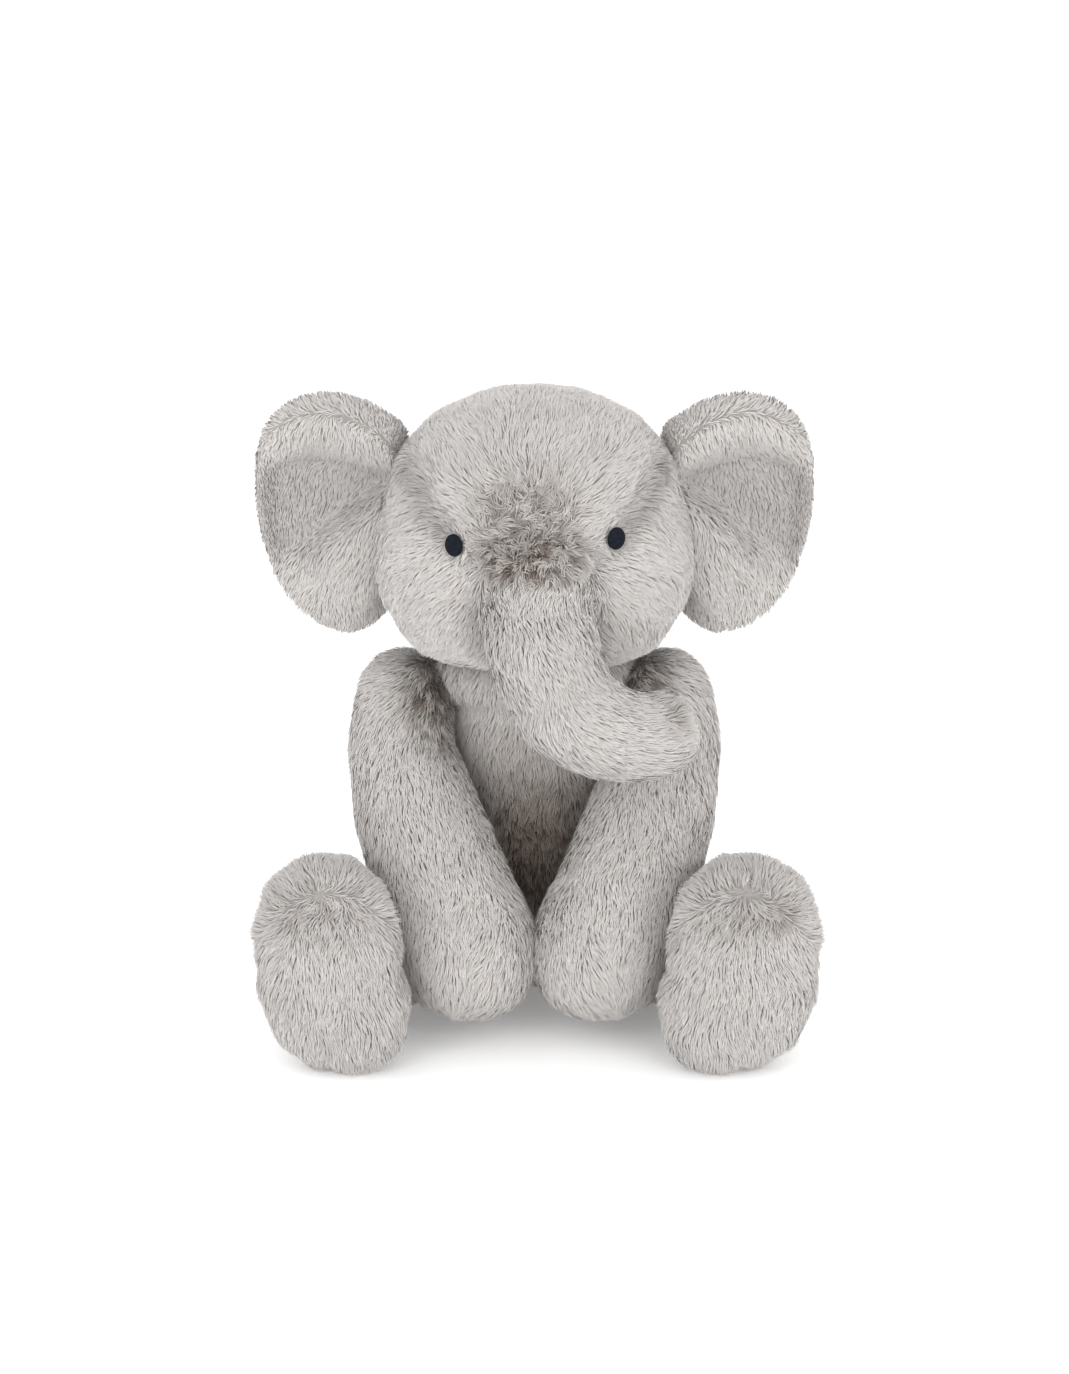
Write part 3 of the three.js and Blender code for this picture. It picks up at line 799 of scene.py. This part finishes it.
def build_ear(side, sign):
    body = f"ear_{side}"
    low, high = node_box(*BODIES[body])
    root_x = low[0] if sign > 0 else high[0]
    size = high - low
    hinge = PIVOTS[f"ear_{side}_flap"]

    def place_on(uv, lift):
        """Points of the ear, that far in front of its hinge."""
        x = root_x + sign * uv[:, 0] * size[0]
        return np.stack([x, hinge[1] - lift, low[2] + uv[:, 1] * size[2]], 1)

    outline = ear_outline()
    reaches = np.sin(np.arange(1, EAR_ROWS + 1) / EAR_ROWS * math.pi / 2)
    rows = []
    for face, inwards in ((1, reaches), (-1, reaches[-2::-1])):
        for reach in inwards:
            uv = EAR_MIDDLE + (outline - EAR_MIDDLE) * reach
            thick = face * EAR_THICK / 2 * (1 - reach ** 5) ** 0.5
            rows.append(place_on(uv, ear_relief(uv, np.full(EAR_SPOKES, reach)) + thick))
    middle = EAR_MIDDLE[None]
    ends = [place_on(middle, ear_relief(middle, np.zeros(1)) + face * EAR_THICK / 2) for face in (1, -1)]
    skin = add_shell(f"{body}_skin", np.concatenate([*rows, *ends]), len(rows), EAR_SPOKES, BACKING)
    root = np.array([root_x + sign * EAR_ROOT[0] * size[0], hinge[1], low[2] + EAR_ROOT[1] * size[2]])

    def ear_uv(points):
        return np.stack([(points[:, 0] - root_x) * sign / size[0], (points[:, 2] - low[2]) / size[2]], 1)

    def nap(points, normals):
        uv = ear_uv(points)
        spread = unit((points - root) * np.array([1, 0.3, 1]))
        down = np.array([0, 0, -1.0])
        front = smoothstep(0.2, -0.2, normals[:, 1])
        lobe = smoothstep(-4 * MM, 6 * MM, crease_place(uv)[0])
        combed = mixed(np.tile(down + np.array([0.25 * sign, 0, 0]), (len(points), 1)), spread + 0.8 * down, lobe)
        over_top = smoothstep(0.5 * MM, 3.5 * MM, parting_place(uv))
        combed = mixed(combed, np.array([0.7 * sign, 0.8, 0.6]), over_top)
        back = mixed(spread + 0.8 * down, np.array([0.3 * sign, 0, 1.0]), smoothstep(0.8, 0.95, uv[:, 1]))
        return mixed(back, combed, front)

    def length(points):
        uv = ear_uv(points)
        dish = smoothstep(4 * MM, -6 * MM, fold_place(uv)) * smoothstep(4 * MM, -6 * MM, crease_place(uv)[0])
        rim = smoothstep(0.80, 1.0, np.linalg.norm((uv - 0.5) * 2, axis=1))
        return EAR_PILE * (1 - 0.35 * dish) * (1 - 0.5 * rim) * (1 - 0.4 * by_head(uv))

    def tone(points):
        uv = ear_uv(points)
        # painted shade: darker in the dish under the rolled top; painted light: lighter at the end beside the head,
        # over the shade where the ear meets it
        dish = smoothstep(3 * MM, -8 * MM, fold_place(uv)) * smoothstep(3 * MM, -6 * MM, crease_place(uv)[0])
        return 0.95 - 0.16 * dish + 0.08 * by_head(uv)

    # Brown along the parting near the top edge: partly the parted pile's browner roots, partly painted shade in the
    # crease there
    whorls = []
    for u in (0.1, 0.2, 0.3, 0.4, 0.5):
        centre = place_on(np.array([[u, parting_height(u)]]), np.array([6 * MM]))[0]
        whorls.append(Whorl(centre, 9 * MM, 0.22, ruffle=0.12))
    pile = grow(skin, nap, length, seed=20 + sign, whorls=whorls, tone=tone)

    def place(piece):
        start, end = hinge.copy(), hinge.copy()
        start[0] -= sign * 6 * MM
        end[0] += sign * 8 * MM
        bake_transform(piece)

    finish_part(skin, pile, BODIES[body], place)


# --- Body -------------------------------------------------------------------------------------

def build_torso():
    low, _ = node_box(*BODIES["torso"])
    chest = PIVOTS["head_nod"] + np.array([0, 7, -12]) * MM
    fillers = [ellipsoid(PIVOTS["head_nod"], (NECK_PLUG,) * 3), ellipsoid(chest, np.array([47, 27, 19]) * MM)]
    skin = melted("torso_skin", BODIES["torso"], fillers)
    # The lower belly's brown is partly its browner fur and partly painted shade, for the shade under the arms and
    # head
    belly_brown_and_shade = Whorl([0, low[1] + 8 * MM, low[2] + 66 * MM], 84 * MM, 1.05, ruffle=0.2, patchy=0.2)
    pile = grow(skin, straight([0, 0.05, -1.0]), evenly(TORSO_PILE), seed=31, whorls=[belly_brown_and_shade])
    finish_part(skin, pile, BODIES["torso"], lambda piece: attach(piece, "torso"))


def build_neck():
    """The sewn neck: a short soft barrel about the point that the head turns and nods on."""
    centre = PIVOTS["head_nod"] + np.array([0, 2, 0]) * MM
    skin = melted("neck_skin", BODIES["neck"], [ellipsoid(centre, np.array([24, 20, 10]) * MM)])
    pile = grow(skin, straight([0, 0, -1.0]), evenly(NECK_PILE), seed=32)
    finish_part(skin, pile, BODIES["neck"], lambda piece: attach(piece, "neck"))


# --- Arms, legs and tail ----------------------------------------------------------------------

def build_arm(side, sign):
    body = f"arm_{side}"
    skin = melted(f"{body}_skin", BODIES[body])
    low, high = node_box(*BODIES[body])

    def arm_swell(points):
        """The paws are fuller than the arms, most of all where they face each other."""
        inwards = 3 * MM * smoothstep(sign * 36 * MM, sign * 12 * MM, points[:, 0])
        paw_share = smoothstep(low[2] + 66 * MM, low[2] + 30 * MM, points[:, 2])
        return 1.4 * MM * smoothstep(high[2], high[2] - 30 * MM, points[:, 2]) + (1.6 * MM + inwards) * paw_share

    swell(skin, arm_swell)
    shoulder = PIVOTS[f"{body}_swing"]
    paw = np.array([sign * 34 * MM, low[1] + 18 * MM, low[2] + 16 * MM])
    fold = np.array([shoulder[0] - sign * 15 * MM, shoulder[1] - 16 * MM, high[2] - 12 * MM])
    crown = np.array([shoulder[0] - sign * 24 * MM, shoulder[1] - 6 * MM, high[2] + 8 * MM])

    def nap(points, normals):
        spread = unit(points - crown)
        return mixed(spread, unit(paw - points) + np.array([0, 0, -0.6]),
                     smoothstep(high[2] - 10 * MM, high[2] - 60 * MM, points[:, 2]))

    whorls = [Whorl(fold, 29 * MM, 0.95, stretch=(0.75, 1, 1.5), ruffle=0.3)]
    pile = grow(skin, nap, evenly(ARM_PILE), seed=40 + sign, whorls=whorls, tone=evenly(ARM_TONE))
    finish_part(skin, pile, BODIES[body], lambda piece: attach(piece, body))


FOOT_LENGTH = 60 * MM  # how far back from the sole the leg is shaped as a foot
FOOT_WIDER = {"left": 3.5 * MM, "right": 1 * MM}
ARC_DROP, ARC_SAG = 9 * MM, 22 * MM  # the arc starts this far below a sole's top, and falls this far to its sides


def build_leg(side, sign):
    """The pile of the sole parts along an arc below its top, and shows browner there."""
    body = f"leg_{side}"
    sole_low, sole_high = node_box(f"foot_{side}_sole")
    hip = PIVOTS[f"{body}_spread"]
    sole = (sole_low + sole_high) / 2
    sole_half = (sole_high - sole_low) / 2
    seam_y = sole_high[1]

    def arc_height(across):
        return sole_high[2] - ARC_DROP - ARC_SAG * across ** 2

    def arc_place(points):
        """How far points on the sole lie above the arc where its pile parts."""
        return points[:, 2] - arc_height((points[:, 0] - sole[0]) / sole_half[0])

    def on_sole(points):
        return smoothstep(seam_y + 3 * MM, seam_y - 7 * MM, points[:, 1])

    def seam_depth(points):
        arc = bell(arc_place(points), 2.4 * MM) * on_sole(points)
        return 0.5 * MM * bell(points[:, 1] - seam_y, 2.6 * MM) + 1.1 * MM * arc

    def foot_swell(points):
        """The foot is squarer than an oval at its top corners and at its inner side by the floor."""
        across = (points[:, 0] - sole[0]) * sign / sole_half[0]
        up = np.maximum(0, (points[:, 2] - sole[2]) / sole_half[2])
        low = np.maximum(0, (sole[2] - points[:, 2]) / sole_half[2])
        corner = np.clip(across * up, 0, 1) + 0.4 * np.clip(-across * up, 0, 1)
        heel = np.clip(-across * low, 0, 1) * smoothstep(seam_y + FOOT_LENGTH, seam_y + 5 * MM, points[:, 1])
        wider = FOOT_WIDER[side] * smoothstep(0, 1, across)
        return (7.5 * MM * corner + wider) * smoothstep(seam_y + FOOT_LENGTH, seam_y, points[:, 1]) + 18 * MM * heel

    skin = melted(f"{body}_skin", BODIES[body])
    swell(skin, foot_swell)
    push(skin, seam_depth)
    settle(skin)
    fold = np.array([sole[0] + sign * 2 * MM, sole_low[1] + 6 * MM, sole_high[2] - 14 * MM])

    def nap(points, normals):
        down = np.array([0, 0, -1.0])
        backward = unit(hip - sole)
        outwards = unit((points - fold) * np.array([1, 0.4, 1]))
        above = smoothstep(-1 * MM, 2 * MM, arc_place(points))[:, None]
        combed = (outwards * 0.4 + down) * (1 - above) + (0.5 * outwards + np.array([0, 1.0, 0.1])) * above
        return mixed(backward * 0.8 + down * 0.5, combed, on_sole(points))

    whorls = [Whorl(fold, 24 * MM, 0.25, stretch=(1.3, 1, 0.8), ruffle=0.45)]
    for across in (-0.55, -0.3, 0.0, 0.3, 0.55):
        centre = [sole[0] + across * sole_half[0], sole_low[1] + 4 * MM, arc_height(across)]
        whorls.append(Whorl(centre, 9 * MM, 0.5, ruffle=0.2))
    pile = grow(skin, nap, evenly(LEG_PILE), seed=50 + sign, whorls=whorls, tone=evenly(LEG_TONE))
    finish_part(skin, pile, BODIES[body], lambda piece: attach(piece, body))


def build_tail():
    low, high = node_box("tail_tuft")
    tuft = (low + high) / 2
    fillers = [ellipsoid(tuft + np.array([0, 0, k]) * MM, np.array([6.5, 6.5, 8]) * MM) for k in (0, 5)]
    skin = melted("tail_skin", BODIES["tail"], fillers, voxel=1 * MM, rounds=8)
    pile = grow(skin, straight([0, 0.1, -1.0]), evenly(TAIL_PILE), seed=61)
    finish_part(skin, pile, BODIES["tail"], lambda piece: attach(piece, "tail"))


# --- Studio -----------------------------------------------------------------------------------

CAMERA_TARGET = Vector((0, 5.5 * MM, 147 * MM))
CAMERA_DISTANCE = 1.7
CAMERA_ELEVATION = math.radians(16)
CAMERA_LENS = 98.2
LAMPS = {"key": (-0.8, -1.6, 0.8), "fill": (0.9, -1.6, 0.7)}
LAMP_TARGET = (0, 0, 0.12)
LAMP_SIZE = 1.1
LAMP_POWER = 8.5
SKY_STRENGTH = 1.14
FLOOR_REACH = 12
FLOOR_ALBEDO = 0.97
FLOOR_GLOW = 0.17


def build_camera():
    data = bpy.data.cameras.new("camera")
    data.lens = CAMERA_LENS
    camera = bpy.data.objects.new("camera", data)
    bpy.context.scene.collection.objects.link(camera)
    back = Vector((0, -math.cos(CAMERA_ELEVATION), math.sin(CAMERA_ELEVATION)))
    camera.location = CAMERA_TARGET + back * CAMERA_DISTANCE
    camera.rotation_euler = (-back).to_track_quat("-Z", "Y").to_euler()
    bpy.context.scene.camera = camera


def build_lamp(name, place):
    data = bpy.data.lights.new(name, "AREA")
    data.shape = "DISK"
    data.size = LAMP_SIZE
    data.energy = LAMP_POWER
    lamp = bpy.data.objects.new(name, data)
    bpy.context.scene.collection.objects.link(lamp)
    lamp.location = place
    lamp.rotation_euler = (Vector(LAMP_TARGET) - Vector(place)).to_track_quat("-Z", "Y").to_euler()


def build_studio():
    scene = bpy.context.scene
    scene.view_settings.view_transform = "Standard"
    world = bpy.data.worlds.new("studio")
    scene.world = world
    world.use_nodes = True
    sky = world.node_tree.nodes["Background"]
    sky.inputs["Color"].default_value = (1, 1, 1, 1)
    sky.inputs["Strength"].default_value = SKY_STRENGTH
    for name, place in LAMPS.items():
        build_lamp(name, place)
    mesh = bpy.data.meshes.new("floor")
    corners = [(x * FLOOR_REACH, y * FLOOR_REACH, 0) for x, y in ((-1, -1), (1, -1), (1, 1), (-1, 1))]
    mesh.from_pydata(corners, [], [(0, 1, 2, 3)])
    material, _, shader = new_material("floor", 0.9)
    shader.inputs["Base Color"].default_value = (FLOOR_ALBEDO,) * 3 + (1,)
    shader.inputs["Emission Color"].default_value = (1, 1, 1, 1)
    shader.inputs["Emission Strength"].default_value = FLOOR_GLOW
    add_object("floor", mesh, material)


build_camera()
build_studio()
build_head()
build_trunk_tip()
for side, sign in SIDES.items():
    build_eye(side)
    build_ear(side, sign)
    build_arm(side, sign)
    build_leg(side, sign)
build_torso()
build_neck()
build_tail()
